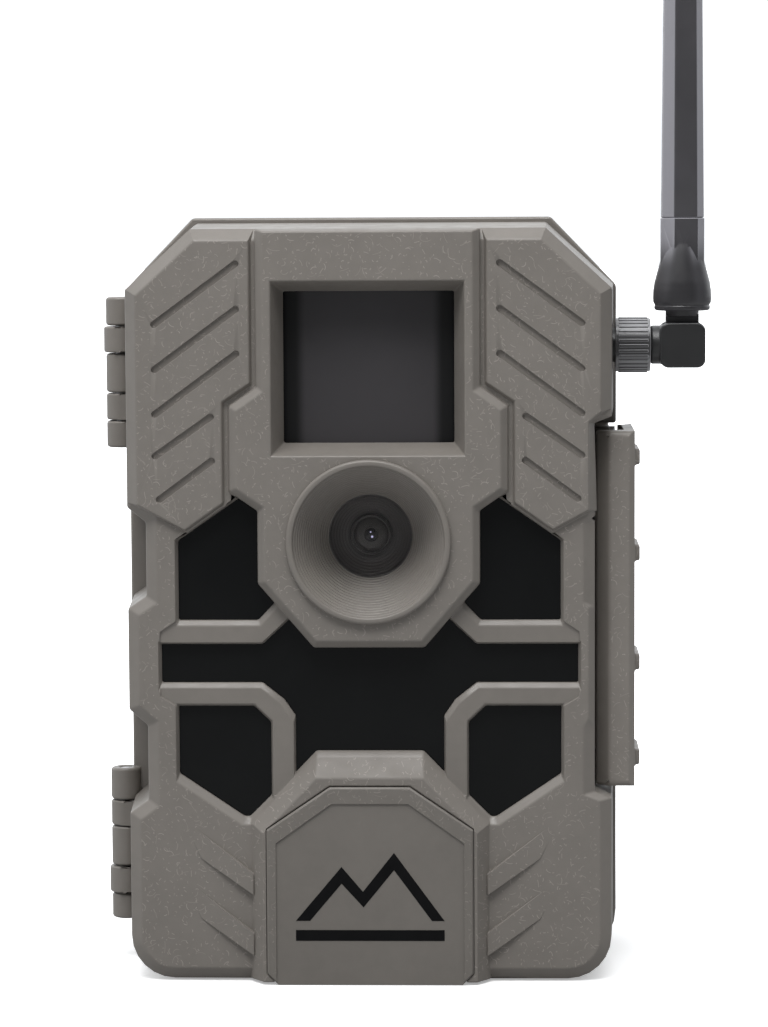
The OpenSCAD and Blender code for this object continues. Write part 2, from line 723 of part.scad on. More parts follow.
module lens_barrel() {
    color([0.04, 0.04, 0.045]) translate([0, part_y, lens_z]) rotate([90, 0, 0]) rotate_extrude()
        polygon([[0, 5], [6.5, 5], [6.5, 9.6], [6.1, 10.6], [3.3, 10.6], [3, 9.6], [1.4, 8.8], [0, 8.6]]);
}

module sensor_board() {
    color(board_green) {
        box([-8, 8], [3.5, 4.7], [lens_z - 8, lens_z + 8]);
        box([-5, 5], [4.6, 5], [lens_z - 5, lens_z + 5]);
    }
}

// ---------- electronics ----------

module led_board() {
    color(board_green) difference() {
        box([-35.4, 35.4], [led_board_d, led_board_d + board_t], [31, 88]);
        round_bar(0, lens_z, 9.8, 0, 30);
    }
}

function led_spots() = concat(
    [for (i = [0:2], j = [0:led_rows - 1]) [24 + i * 4.6, 70 + j * 4.4]],
    [for (i = [0:2], j = [0:led_rows - 1]) [22.5 + i * 4.6, 39.5 + j * 4.4]]);

module ir_leds() {
    color([0.35, 0.3, 0.4]) both_sides() for (p = led_spots()) {
        round_bar(p.x, p.y, 1.5, led_board_d + board_t, 16);
        translate([p.x, part_y - 16, p.y]) sphere(r = 1.5, $fn = 24);
    }
}

board_right = [[30, 8], [37.2, 18], [37.2, 82], [31.5, 88.5], [30, 98], [30, 126], [24, 134]];

module main_board() {
    color(board_green) difference() {
        slab(main_board_d, main_board_d + board_t)
            polygon(concat(board_right, flip(board_right)));
        round_bar(0, lens_z, 8, 0, 30);
    }
}

module modem_module() {
    base = main_board_d + board_t;
    color([0.6, 0.6, 0.62]) box([8, 28], [base, base + 2.4], [16, 34]);
}

module motion_sensor() {
    base = main_board_d + board_t;
    color(steel) {
        round_bar(0, 113, 4.9, base, base + 0.5);
        difference() {
            round_bar(0, 113, 4.3, base, base + 4);
            box([-2, 2], [base + 3.8, base + 5], [111.5, 114.5]);
        }
    }
}

// A gently bowed sheet, thicker in front of its middle.
module motion_lens() {
    bow_r = 110;
    color([0.2, 0.2, 0.21]) intersection() {
        slab(14, 16.15) polygon(frame_rect(1.15));
        translate([0, part_y - 16.1 + bow_r, motion_z[0] - 3]) difference() {
            cylinder(r = bow_r, h = 40, $fn = 180);
            translate([0, 0, -1]) cylinder(r = bow_r - 0.6, h = 42, $fn = 180);
        }
    }
}

// ---------- control side of the door ----------

panel_inset = 0.35;
screen_x = [-19, 19];
screen_z = [93, 121.5];

pad_spots = [for (a = [0:90:270]) [button_gap * cos(a), keypad_z + button_gap * sin(a)]];

module button_holes(extra) {
    round_bar(0, keypad_z, 3.6 + extra, -2, 20);
    for (p = pad_spots) round_bar(p.x, p.y, 2.8 + extra, -2, 20);
}

module inner_panel() {
    outline = grown_by(door_outline, -wall - 0.1 - panel_inset);
    color([0.12, 0.12, 0.125]) difference() {
        slab(inner_panel_d, inner_panel_d + 2) polygon(outline);
        button_holes(0.1);
        slab(0, 9) translate([screen_x[0], screen_z[0]])
            square([screen_x[1] - screen_x[0], screen_z[1] - screen_z[0]]);
        box([-28.8, -17.2], [0, 9], [keypad_z - 2.2, keypad_z + 2.2]);
        box([-14, 14], [0, 9], [9.5, 27]);
        for (z = contact_z) round_bar(-33.8, z, 1.3, -2, 9);
        for (p = post_spots) {
            round_bar(p.x, p.y, 1.2, 0, 9);
            round_bar(p.x, p.y, 2.3, 0, inner_panel_d + 1);
        }
    }
}

module panel_screws() {
    color(steel) for (p = post_spots) pan_screw(p.x, p.y, 2, 0.8, inner_panel_d + 0.98, 8, 1);
}

module display_module() {
    color([0.25, 0.26, 0.28])
        box([screen_x[0] - 2, screen_x[1] + 2], [3.1, 5.6], [screen_z[0] - 2.5, screen_z[1] + 2]);
}

module display_window() {
    color([0.06, 0.08, 0.1]) box([screen_x[0] + 0.15, screen_x[1] - 0.15], [inner_panel_d + 0.3, 2.9],
        [screen_z[0] + 0.15, screen_z[1] - 0.15]);
}

module button(x, z, r) {
    round_bar(x, z, r, 0.3, 3.9);
    round_bar(x, z, r + 0.6, 3.1, 3.9);
}

module ok_button() { color([0.5, 0.5, 0.5]) button(0, keypad_z, 3.6); }
module up_button() { color([0.3, 0.3, 0.3]) button(0, keypad_z + button_gap, 2.8); }
module down_button() { color([0.3, 0.3, 0.3]) button(0, keypad_z - button_gap, 2.8); }
module left_button() { color([0.3, 0.3, 0.3]) button(button_gap, keypad_z, 2.8); }
module right_button() { color([0.3, 0.3, 0.3]) button(-button_gap, keypad_z, 2.8); }

module tact_switches() {
    color([0.7, 0.7, 0.72]) for (p = concat([[0, keypad_z]], pad_spots)) {
        box([p.x - 3, p.x + 3], [5.4, main_board_d], [p.y - 3, p.y + 3]);
        round_bar(p.x, p.y, 1.5, 4.6, 5.5);
    }
}

module mode_switch() {
    color([0.75, 0.75, 0.73]) union() {
        box([-28.6, -23.6], [0.2, 3.4], [keypad_z - 2, keypad_z + 2]);
        box([-30.2, -22], [3.3, 4.4], [keypad_z - 3, keypad_z + 3]);
    }
}

module card_slot() {
    color(steel) difference() {
        box([-14.5, 14.5], [3.2, 6.8], [27.4, 47]);
        box([-12.2, 12.2], [3.8, 6.2], [20, 46.4]);
    }
}

module memory_card() {
    color([0.1, 0.12, 0.2]) slab(3.95, 6.05)
        polygon([[-12, 14.2], [12, 14.2], [12, 46.2], [-8, 46.2], [-12, 42.2]]);
}

// ---------- antenna ----------

module along_x(x0, x1, r) {
    translate([x0, part_y - antenna_d, antenna_z]) rotate([0, 90, 0]) cylinder(r = r, h = x1 - x0);
}

module antenna_socket() {
    color(brass) difference() {
        union() {
            along_x(38.6, 41.6, 4.6);
            along_x(41, 48.5, 3.17);
        }
        along_x(46, 49, 2.2);
    }
    color(brass) along_x(44, 48.3, 0.5);
}

module antenna_nut() {
    ribs = 32;
    color([0.16, 0.16, 0.165]) difference() {
        union() {
            along_x(45.1, 51.5, nut_r - 0.2);
            for (i = [0:ribs - 1])
                translate([45.7, part_y - antenna_d, antenna_z]) rotate([360 * i / ribs, 0, 0])
                    translate([0, -0.24, nut_r - 0.6]) cube([5.3, 0.48, 0.6]);
        }
        along_x(45, 50, 3.25);
        along_x(44, 53, 2.4);
    }
}

fork_r = 1.5;
fork_gap = 1.6;
fork_half = 4.1;

module fork_sketch() {
    reach = fork_half - fork_r;
    for (x = [-1, 1], z = [-1, 1]) translate([x * reach, z * reach]) circle(fork_r);
    square([2 * reach, 2 * fork_half], center = true);
    square([2 * fork_half, 2 * reach], center = true);
}

module at_elbow() {
    translate([elbow_x, part_y - antenna_d, antenna_z]) children();
}

module antenna_elbow() {
    color([0.06, 0.06, 0.065]) difference() {
        union() {
            along_x(48.8, 49.8, 3);
            along_x(49.5, 51.8, 2.3);
            along_x(51.65, 54, 3.55);
            at_elbow() translate([0, 4, 0]) rotate([90, 0, 0]) linear_extrude(8) fork_sketch();
        }
        at_elbow() translate([-3.5, -fork_gap, -3.5]) cube([10, 2 * fork_gap, 10]);
        at_elbow() rotate([-90, 0, 0]) translate([0, 0, -3]) cylinder(r = 0.95, h = 10);
    }
}

// The pin goes in from the back, so the elbow's front stays whole.
module antenna_pin() {
    color(steel) at_elbow() rotate([-90, 0, 0]) translate([0, 0, -2.9]) cylinder(r = 0.9, h = 6.8);
}

sleeve_top = 23.2;

// The eight-sided section of the whip and of the sleeve's top, turned a little on its axis.
function blade_outline(w, t) =
    let (half = [[w, -0.42 * t], [w, 0.42 * t], [0.38 * w, t], [-0.68 * w, t]])
    concat(half, -half);

module antenna_sleeve() {
    color([0.06, 0.06, 0.065]) at_elbow() difference() {
        union() {
            rotate([90, 0, 0]) cylinder(r = 3.2, h = 3, center = true);
            translate([-3, -1.5, 0]) cube([6, 3, 5.6]);
            rotate_extrude() polygon([[0, 5.25], [3.05, 5.25], [3.05, 6.3], [4.8, 6.3], [5.1, 6.6], [5.1, 7.1],
                [4.95, 7.3], [5.3, 7.8], [5.35, 8.6], [5.3, 10], [5.1, 11.4], [4.6, 13.3], [4.05, 15.3],
                [3.5, 17.3], [2.9, 19.3], [0, 19.3]]);
            translate([0, 0, 13]) linear_extrude(sleeve_top - 13) polygon(blade_outline(3.96, 3));
        }
        rotate([90, 0, 0]) cylinder(r = 0.95, h = 20, center = true);
    }
}

function blade(w, t, z) = [for (p = blade_outline(w, t)) [p.x, p.y, z]];

module antenna_whip() {
    rows = [blade(3.9, 2.9, sleeve_top + 0.02), blade(2.7, 2.1, whip_len - 3), blade(1.4, 1.2, whip_len)];
    n = 8;
    sides = [for (k = [0, 1], i = [0:n - 1])
        let (j = (i + 1) % n, row = k * n, next = row + n) [row + i, next + i, next + j, row + j]];
    ends = [[for (i = [0:n - 1]) i], [for (i = [n - 1:-1:0]) 2 * n + i]];
    color([0.06, 0.06, 0.065]) at_elbow() polyhedron([for (row = rows) each row], concat(ends, sides));
}

rear_case();
gasket();
tripod_insert();
strap_bracket();
bracket_screws();
battery_tray();
tray_screws();
battery_cells();
battery_springs();
battery_contacts();
power_pads();
dc_jack();
dc_jack_plug();
hinge_pins();
latch_pin();
latch_lever();
front_cover();
ir_window();
led_board();
ir_leds();
motion_lens();
motion_sensor();
lens_bezel();
lens_glass();
lens_barrel();
sensor_board();
main_board();
modem_module();
inner_panel();
panel_screws();
display_module();
display_window();
tact_switches();
ok_button();
up_button();
down_button();
left_button();
right_button();
mode_switch();
card_slot();
memory_card();
power_pins();
badge_plate();
antenna_socket();
antenna_nut();
antenna_elbow();
antenna_pin();
antenna_sleeve();
antenna_whip();
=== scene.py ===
"""A trail camera in a small studio.

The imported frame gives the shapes. Most nodes are shown as cleaned copies with rounded edges, the lens is
turned again with finer rings, and every piece has a procedural finish.
"""

import json
import math

import bmesh
import bpy
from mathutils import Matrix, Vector


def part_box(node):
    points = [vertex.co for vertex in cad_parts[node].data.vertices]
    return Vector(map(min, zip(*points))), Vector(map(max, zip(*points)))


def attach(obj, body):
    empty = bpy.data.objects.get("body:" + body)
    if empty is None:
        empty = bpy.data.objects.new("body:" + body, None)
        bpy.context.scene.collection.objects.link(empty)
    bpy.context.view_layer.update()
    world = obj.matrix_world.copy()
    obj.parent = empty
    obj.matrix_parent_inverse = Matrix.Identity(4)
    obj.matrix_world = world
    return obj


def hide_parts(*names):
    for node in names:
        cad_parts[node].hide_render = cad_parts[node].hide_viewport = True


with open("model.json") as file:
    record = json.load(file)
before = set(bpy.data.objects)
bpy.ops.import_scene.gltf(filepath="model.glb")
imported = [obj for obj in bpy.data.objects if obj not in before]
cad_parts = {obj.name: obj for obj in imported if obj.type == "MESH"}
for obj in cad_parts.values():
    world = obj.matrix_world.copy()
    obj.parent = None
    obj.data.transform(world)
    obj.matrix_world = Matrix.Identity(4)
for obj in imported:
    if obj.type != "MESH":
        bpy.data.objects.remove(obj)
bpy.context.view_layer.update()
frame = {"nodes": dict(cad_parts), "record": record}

MM = 0.001
NODES = frame["nodes"]
RECORD = frame["record"]
BODY_OF = {node: body for body, nodes in RECORD["behaviour"]["bodies"].items() for node in nodes}
SLOT_OF = {part["node"]: part["material_slot"] for part in RECORD["subparts"]}
PART_Y = -13 * MM  # the plane between the case and the door; depths are measured from it towards the front
LENS_Z = 81.5 * MM
BAR_DEPTH = 20.97 * MM  # the window bars' faces; the textured faces of the door stand above them
FACET_DEPTH = 21.5 * MM  # where the facets around the badge begin
FACET_TOP = 45 * MM
BADGE_BORDER_DEPTH = 24.45 * MM
MARK_DEPTHS = (24.28, 24.38)  # mm, back and front of the printed mark

MIN_SHARP = math.radians(25)  # edges with a smaller angle are left as they are
CREASE = math.radians(32)  # above this angle a CAD node that keeps its mesh is shaded sharp
ROUND_SEGMENTS = 2
TURNED_SEGMENTS = 144
GROOVE_LENGTH = 24 * MM
GROOVE_SHARE = 0.2


# ---------- materials ----------


class Graph:
    """Adds nodes to a node tree and links them."""

    def __init__(self, tree):
        self.tree = tree

    def node(self, kind, inputs=None, **settings):
        made = self.tree.nodes.new(kind)
        for key, value in settings.items():
            setattr(made, key, value)
        for key, value in (inputs or {}).items():
            self.feed(made.inputs[key], value)
        return made

    def feed(self, socket, value):
        if isinstance(value, bpy.types.NodeSocket):
            self.tree.links.new(value, socket)
        else:
            socket.default_value = value

    def math(self, operation, a, b=0.0):
        return self.node("ShaderNodeMath", {0: a, 1: b}, operation=operation).outputs[0]

    def vector(self, operation, a, b=(0.0, 0.0, 0.0), output="Vector"):
        return self.node("ShaderNodeVectorMath", {0: a, 1: b}, operation=operation).outputs[output]

    def product(self, *factors):
        total = factors[0]
        for factor in factors[1:]:
            total = self.math("MULTIPLY", total, factor)
        return total

    def noise(self, scale, detail=3.0, roughness=0.55, distortion=0.0, place=None):
        made = self.node(
            "ShaderNodeTexNoise",
            {"Vector": place or self.place, "Scale": scale, "Detail": detail,
             "Roughness": roughness, "Distortion": distortion},
        )
        return made.outputs["Fac"]

    def fit(self, value, low, high, to_low=0.0, to_high=1.0):
        made = self.node(
            "ShaderNodeMapRange",
            {"Value": value, "From Min": low, "From Max": high, "To Min": to_low, "To Max": to_high},
            interpolation_type="SMOOTHSTEP",
        )
        return made.outputs["Result"]

    def mix(self, factor, first, second):
        made = self.node("ShaderNodeMix", data_type="RGBA")
        self.feed(made.inputs["Factor"], factor)
        self.feed(made.inputs[6], first)
        self.feed(made.inputs[7], second)
        return made.outputs[2]

    def bump(self, height, strength, distance, normal=None):
        made = self.node("ShaderNodeBump", {"Strength": strength, "Distance": distance, "Height": height})
        if normal is not None:
            self.feed(made.inputs["Normal"], normal)
        return made.outputs["Normal"]

    def axis(self, name, source=None):
        return self.node("ShaderNodeSeparateXYZ", {0: source or self.place}).outputs[name]


class Look(Graph):
    """One procedural material, measured in the coordinates of its piece."""

    def __init__(self, name):
        self.material = bpy.data.materials.new(name)
        self.material.use_nodes = True
        super().__init__(self.material.node_tree)
        self.surface = self.tree.nodes["Principled BSDF"]
        self.place = self.node("ShaderNodeTexCoord").outputs["Object"]

    def set(self, **values):
        for key, value in values.items():
            self.feed(self.surface.inputs[key.replace("_", " ")], value)


def rgba(red, green, blue):
    return (red, green, blue, 1.0)


def shade(colour, factor):
    return rgba(*(min(1.0, c * factor) for c in colour[:3]))


def strokes(look, cell, length, width, share, shift):
    """Short curved strokes in the front view: one in each of a share of the cells of a Voronoi pattern."""
    flat = look.node("ShaderNodeCombineXYZ", {0: look.axis("X"), 1: look.axis("Z")}).outputs[0]
    flat = look.vector("ADD", flat, (shift, shift, 0.0))
    cells = look.node("ShaderNodeTexVoronoi", {"Vector": flat, "Scale": 1 / cell}, voronoi_dimensions="2D")
    away = look.vector("SUBTRACT", flat, cells.outputs["Position"])
    chance = look.node("ShaderNodeSeparateColor", {0: cells.outputs["Color"]}).outputs
    turn = look.math("MULTIPLY", chance[0], 2 * math.pi)
    turned = look.node("ShaderNodeVectorRotate", {"Vector": away, "Angle": turn}, rotation_type="Z_AXIS")
    along, across = look.axis("X", turned.outputs[0]), look.axis("Y", turned.outputs[0])
    bow = look.product(look.math("SUBTRACT", chance[1], 0.5), 3.0 / length, along, along)
    off_line = look.math("ABSOLUTE", look.math("ADD", across, bow))
    line = look.fit(off_line, 0.25 * width, 0.75 * width, 1.0, 0.0)
    reach = look.math("MULTIPLY", look.math("ADD", chance[2], 0.25), 0.4 * length)
    ends = look.math("LESS_THAN", look.math("ABSOLUTE", along), reach)
    drawn = look.math("LESS_THAN", look.math("FRACT", look.math("MULTIPLY", chance[0], 17.0)), share)
    strength = look.math("ADD", look.math("MULTIPLY", chance[1], 0.6), 0.4)
    return look.product(line, ends, drawn, strength)


def squiggles(look):
    """The moulded texture of the case: fine curls, with smaller specks between them."""
    curls = strokes(look, 1.7 * MM, 1.5 * MM, 0.15 * MM, 0.62, 0.2)
    specks = strokes(look, 1.15 * MM, 0.6 * MM, 0.17 * MM, 0.5, 0.5)
    threads = strokes(look, 2.9 * MM, 2.4 * MM, 0.11 * MM, 0.6, 0.9)
    return look.math("MAXIMUM", look.math("MAXIMUM", curls, specks), look.math("MULTIPLY", threads, 0.7))


def facing_front(look):
    """1 where the piece's own surface faces the front, 0 where it faces sideways."""
    facing = look.node("ShaderNodeNewGeometry").outputs["True Normal"]
    turned = look.node(
        "ShaderNodeVectorTransform", {0: facing},
        convert_from="WORLD", convert_to="OBJECT", vector_type="NORMAL",
    )
    return look.math("MULTIPLY", look.axis("Y", turned.outputs[0]), -1.0)


def deeper_than(look, depth, softness):
    """1 where the surface stands further to the front than the depth."""
    own = look.math("SUBTRACT", PART_Y, look.axis("Y"))
    return look.fit(own, depth - softness, depth + softness)


def textured_front(look):
    """1 on the front faces of the door that stand above the window bars and on the badge's facets."""
    forward = facing_front(look)
    flat = look.math("MULTIPLY", look.fit(forward, 0.93, 0.97), deeper_than(look, BAR_DEPTH, 0.05 * MM))
    low = look.math("LESS_THAN", look.axis("Z"), FACET_TOP)
    facet = look.product(look.fit(forward, 0.5, 0.6), deeper_than(look, FACET_DEPTH, 0.1 * MM), low)
    return look.math("MAXIMUM", flat, facet)


def textured_badge(look):
    """1 on the raised border along the badge's upper edges."""
    border = deeper_than(look, BADGE_BORDER_DEPTH, 0.05 * MM)
    return look.math("MULTIPLY", look.fit(facing_front(look), 0.9, 0.97), border)


def case_plastic(name, colour, texture=None, grain=1.0, rough=0.42):
    """Moulded case plastic: matt with raised curls where the mould is textured, smoother elsewhere."""
    look = Look(name)
    cloud = look.fit(look.noise(55, 4.0), 0.3, 0.7)
    base = look.mix(cloud, shade(colour, 0.96), shade(colour, 1.04))
    blotch = look.fit(look.noise(420, 3.0), 0.3, 0.7)
    base = look.mix(look.math("MULTIPLY", blotch, 0.12), base, shade(colour, 1.35))
    height = look.math("MULTIPLY", look.noise(3800, 2.0), 0.3 * grain)
    roughness = look.fit(look.noise(240, 3.0), 0.3, 0.7, rough - 0.05, rough + 0.07)
    if texture:
        zone = texture(look)
        marks = look.math("MULTIPLY", squiggles(look), zone)
        base = look.mix(look.math("MULTIPLY", marks, 0.75), base, shade(colour, 1.75))
        height = look.math("ADD", height, marks)
        roughness = look.math("ADD", roughness, look.math("MULTIPLY", zone, 0.16))
    look.set(Base_Color=base, Roughness=roughness, Normal=look.bump(height, 0.3, 0.1 * MM))
    return look.material


def plain_plastic(name, colour, rough, grain=1.0, specular=0.5):
    """Evenly coloured moulded plastic with a fine grain."""
    look = Look(name)
    cloud = look.fit(look.noise(70, 3.0), 0.3, 0.7)
    look.set(
        Base_Color=look.mix(cloud, shade(colour, 0.92), shade(colour, 1.08)),
        Roughness=look.fit(look.noise(300, 3.0), 0.3, 0.7, rough - 0.05, rough + 0.07),
        Normal=look.bump(look.noise(3500, 2.0), 0.2 * grain, 0.05 * MM),
        Specular_IOR_Level=specular,
    )
    return look.material


def antenna_plastic(name, dark, pale, fade_from=None):
    """Dark soft-touch plastic with a painted sheen: a paler base colour on faces seen at a slant.

    Below the height fade_from the plastic is darker and has almost no painted sheen.
    """
    look = Look(name)
    # Painted sheen: faces seen at a slant get a paler base colour, in place of the reflection of the bright
    # surroundings
    turned = look.node("ShaderNodeLayerWeight", {"Blend": 0.5}).outputs["Facing"]
    painted_sheen = look.fit(turned, 0.05, 0.2)
    cloud = look.fit(look.noise(70, 3.0), 0.3, 0.7)
    base = look.mix(cloud, shade(dark, 0.9), shade(dark, 1.1))
    if fade_from:
        upper = look.fit(look.axis("Z"), fade_from, fade_from + 7 * MM, 0.08, 1.0)
        painted_sheen = look.math("MULTIPLY", painted_sheen, upper)
        base = look.mix(upper, shade(dark, 0.45), base)
    look.set(
        Base_Color=look.mix(painted_sheen, base, rgba(*pale)),
        Roughness=look.fit(look.noise(300, 3.0), 0.3, 0.7, 0.3, 0.4),
        Normal=look.bump(look.noise(3500, 2.0), 0.12, 0.05 * MM),
    )
    return look.material


def window_plastic(name):
    """Polished, nearly black plastic that lets only infrared through."""
    look = Look(name)
    smear = look.noise(45, 5.0, 0.6, 0.6)
    clean, smeared = rgba(0.0042, 0.0046, 0.0048), rgba(0.006, 0.0065, 0.0067)
    look.set(
        Base_Color=look.mix(look.fit(smear, 0.35, 0.7), clean, smeared),
        Roughness=look.fit(smear, 0.3, 0.7, 0.12, 0.2),
        Normal=look.bump(look.noise(60, 2.0), 0.03, 0.3 * MM),
        Specular_IOR_Level=0.15,
    )
    return look.material


def sensor_film(name):
    """Milky film of the motion lens: ribs of a faceted lens, with painted shade along its sides next to its
    frame.
    """
    look = Look(name)
    side = look.math("ABSOLUTE", look.axis("X"))
    # Painted shade: the film darkens towards its sides, in place of the shade and dark reflection of the
    # well's walls
    edge = look.fit(side, 11.4 * MM, 13.6 * MM)
    cloud = look.noise(90, 3.0)
    milky = look.mix(cloud, rgba(0.047, 0.0445, 0.0475), rgba(0.058, 0.0545, 0.058))
    ribs = look.node(
        "ShaderNodeTexWave", {"Vector": look.place, "Scale": 160.0, "Distortion": 0.0}, bands_direction="X"
    ).outputs["Fac"]
    look.set(
        Base_Color=look.mix(edge, milky, rgba(0.0105, 0.0105, 0.011)),
        Roughness=look.fit(look.noise(500, 2.0), 0.3, 0.7, 0.36, 0.46),
        Normal=look.bump(ribs, 0.05, 0.05 * MM),
        Specular_IOR_Level=0.25,
    )
    return look.material


def metal(name, colour, rough):
    """Machined metal, a little tarnished."""
    look = Look(name)
    streaks = look.noise(900, 3.0)
    tarnish = look.fit(look.noise(130, 4.0), 0.35, 0.75)
    look.set(
        Base_Color=look.mix(tarnish, rgba(*colour), shade(colour, 0.78)),
        Metallic=1.0,
        Roughness=look.fit(streaks, 0.3, 0.7, rough - 0.07, rough + 0.12),
        Normal=look.bump(streaks, 0.12, 0.04 * MM),
    )
    return look.material


def rubber(name, colour):
    """Matt rubber with dust in its grain."""
    look = Look(name)
    dust = look.fit(look.noise(160, 4.0), 0.55, 0.8)
    look.set(
        Base_Color=look.mix(dust, rgba(*colour), shade(colour, 1.7)),
        Roughness=look.fit(look.noise(500, 2.0), 0.3, 0.7, 0.66, 0.8),
        Normal=look.bump(look.noise(2600, 3.0), 0.3, 0.05 * MM),
    )
    return look.material


def board(name):
    """Lacquered circuit board with fine copper tracks under the mask."""
    look = Look(name)
    cell = look.node(
        "ShaderNodeTexVoronoi", {"Vector": look.place, "Scale": 330.0},
        feature="DISTANCE_TO_EDGE", distance="MANHATTAN",
    )
    tracks = look.fit(cell.outputs["Distance"], 0.03, 0.06, 1.0, 0.0)
    look.set(
        Base_Color=look.mix(tracks, rgba(0.008, 0.055, 0.024), rgba(0.02, 0.12, 0.045)),
        Roughness=0.3,
        Normal=look.bump(tracks, 0.2, 0.04 * MM),
    )
    return look.material


def led_resin(name):
    """Tinted clear resin of the infrared LEDs."""
    look = Look(name)
    look.set(
        Base_Color=look.mix(look.noise(900, 2.0), rgba(0.06, 0.045, 0.075), rgba(0.1, 0.08, 0.12)),
        Roughness=0.12,
        Transmission_Weight=0.5,
    )
    return look.material


def clear_glass(name):
    """Coated cover glass of the lens, tinted and slightly dusty."""
    look = Look(name)
    dust = look.fit(look.noise(700, 4.0), 0.62, 0.78, 0.0, 0.04)
    look.set(
        Base_Color=rgba(0.92, 0.9, 0.88),
        Roughness=look.math("ADD", dust, 0.03),
        Transmission_Weight=1.0,
        IOR=1.25,
        Specular_IOR_Level=0.3,
    )
    return look.material


def cell_wrap(name):
    """Shrink film on an AA cell: dark body with a copper band at its upper end."""
    look = Look(name)
    lowest_cell, row_pitch = 11.6 * MM, 58 * MM
    level = look.math("MODULO", look.math("SUBTRACT", look.axis("Z"), lowest_cell), row_pitch)
    band = look.fit(level, 38.5 * MM, 38.8 * MM)
    look.set(
        Base_Color=look.mix(band, rgba(0.02, 0.022, 0.026), rgba(0.42, 0.2, 0.07)),
        Metallic=look.fit(band, 0.0, 1.0, 0.2, 0.75),
        Roughness=look.fit(look.noise(200, 3.0), 0.3, 0.7, 0.24, 0.34),
        Normal=look.bump(look.noise(260, 3.0), 0.05, 0.1 * MM),
    )
    return look.material


def display_glass(name):
    """A display that is switched off: a fine grid of dark cells behind polished glass."""
    look = Look(name)
    upright = look.node("ShaderNodeMapping", {"Vector": look.place, "Rotation": (math.pi / 2, 0, 0)})
    cells = look.node(
        "ShaderNodeTexBrick",
        {
            "Vector": upright.outputs[0],
            "Scale": 2200.0,
            "Mortar Size": 0.03,
            "Color1": rgba(0.012, 0.016, 0.02),
            "Color2": rgba(0.014, 0.018, 0.023),
            "Mortar": rgba(0.006, 0.007, 0.008),
        },
    )
    look.set(
        Base_Color=cells.outputs["Color"],
        Roughness=look.fit(look.noise(90, 4.0), 0.3, 0.7, 0.06, 0.12),
        Specular_IOR_Level=0.5,
        Coat_Weight=0.6,
        Coat_Roughness=0.04,
    )
    return look.material


TAUPE = (0.205, 0.187, 0.168)
# Painted light: the latch's taupe is a lighter copy of the case's, for the shade the latch stands in beside
# the door
PAINTED_LIGHT_TAUPE = tuple(1.13 * c for c in TAUPE)
# Height on the antenna sleeve where its painted sheen begins to fade in
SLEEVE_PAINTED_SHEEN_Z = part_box("antenna_sleeve")[0][2] + 17 * MM
LOOKS = {
    "case_plastic": case_plastic("case_plastic", TAUPE, rough=0.36),
    "smooth_plastic": case_plastic("smooth_plastic", TAUPE, grain=0.6),
    "badge_plastic": case_plastic("badge_plastic", (0.178, 0.163, 0.146), textured_badge, 0.7, 0.5),
    "dark_window": window_plastic("dark_window"),
    "sensor_film": sensor_film("sensor_film"),
    "lens_glass": clear_glass("lens_glass"),
    "black_plastic": plain_plastic("black_plastic", (0.012, 0.012, 0.013), 0.4),
    "panel_plastic": plain_plastic("panel_plastic", (0.03, 0.03, 0.031), 0.55, 2.0),
    "antenna_plastic": antenna_plastic(
        "antenna_plastic", (0.058, 0.056, 0.061), (0.33, 0.325, 0.355), SLEEVE_PAINTED_SHEEN_Z
    ),
    "seal_rubber": rubber("seal_rubber", (0.012, 0.012, 0.013)),
    "steel": metal("steel", (0.55, 0.55, 0.56), 0.3),
    "brass": metal("brass", (0.7, 0.48, 0.19), 0.28),
    "board": board("board"),
    "led_resin": led_resin("led_resin"),
    "cell_wrap": cell_wrap("cell_wrap"),
    "button_rubber": rubber("button_rubber", (0.16, 0.16, 0.165)),
    "ok_rubber": rubber("ok_rubber", (0.42, 0.16, 0.03)),
    "knob_plastic": plain_plastic("knob_plastic", (0.5, 0.5, 0.48), 0.45),
    "display": display_glass("display"),
    "card_plastic": plain_plastic("card_plastic", (0.015, 0.03, 0.09), 0.45),
}
# The nut and the elbow get a painted sheen too, paler on the nut
NUT_LOOK = antenna_plastic("nut_plastic", (0.05, 0.049, 0.051), (0.3, 0.3, 0.31))
ELBOW_LOOK = antenna_plastic("elbow_plastic", (0.02, 0.02, 0.0205), (0.05, 0.05, 0.052))
# The latch: case plastic painted lighter for its shade, textured on its front faces
LATCH_LOOK = case_plastic(
    "latch_plastic", PAINTED_LIGHT_TAUPE, lambda look: look.fit(facing_front(look), 0.8, 0.95)
)
DOOR_LOOK = case_plastic("door_plastic", TAUPE, textured_front)


# ---------- meshes ----------


def link(name, mesh):
    made = bpy.data.objects.new(name, mesh)
    bpy.context.scene.collection.objects.link(made)
    return made


def joined_faces(node):
    """The CAD node's mesh with its points welded and its flat faces joined up."""
    work = bmesh.new()
    work.from_mesh(NODES[node].data)
    bmesh.ops.remove_doubles(work, verts=work.verts, dist=2e-6)
    bmesh.ops.dissolve_degenerate(work, edges=work.edges, dist=1e-6)
    bmesh.ops.dissolve_limit(work, angle_limit=math.radians(0.6), verts=work.verts, edges=work.edges)
    return work


def room_beside(loop):
    """How far the loop's edge could move into its face before it met another corner of the face."""
    start, end = loop.vert.co, loop.link_loop_next.vert.co
    length = (end - start).length
    along = (end - start) / length
    inward = loop.face.normal.cross(along)
    room = 1.0
    for vert in loop.face.verts:
        offset = vert.co - start
        depth = offset.dot(inward)
        if depth < 1e-6 or depth > room:
            continue
        past = max(-offset.dot(along), offset.dot(along) - length, 0.0)
        if depth > 0.75 * past:
            room = min(room, math.hypot(depth, past))
    for other in (loop.link_loop_prev, loop.link_loop_next):
        run = (other.link_loop_next.vert.co - other.vert.co).normalized()
        turn = along.angle(run)
        if 0.05 < turn < 0.65:
            room = min(room, length / math.tan(turn / 2))
    return room


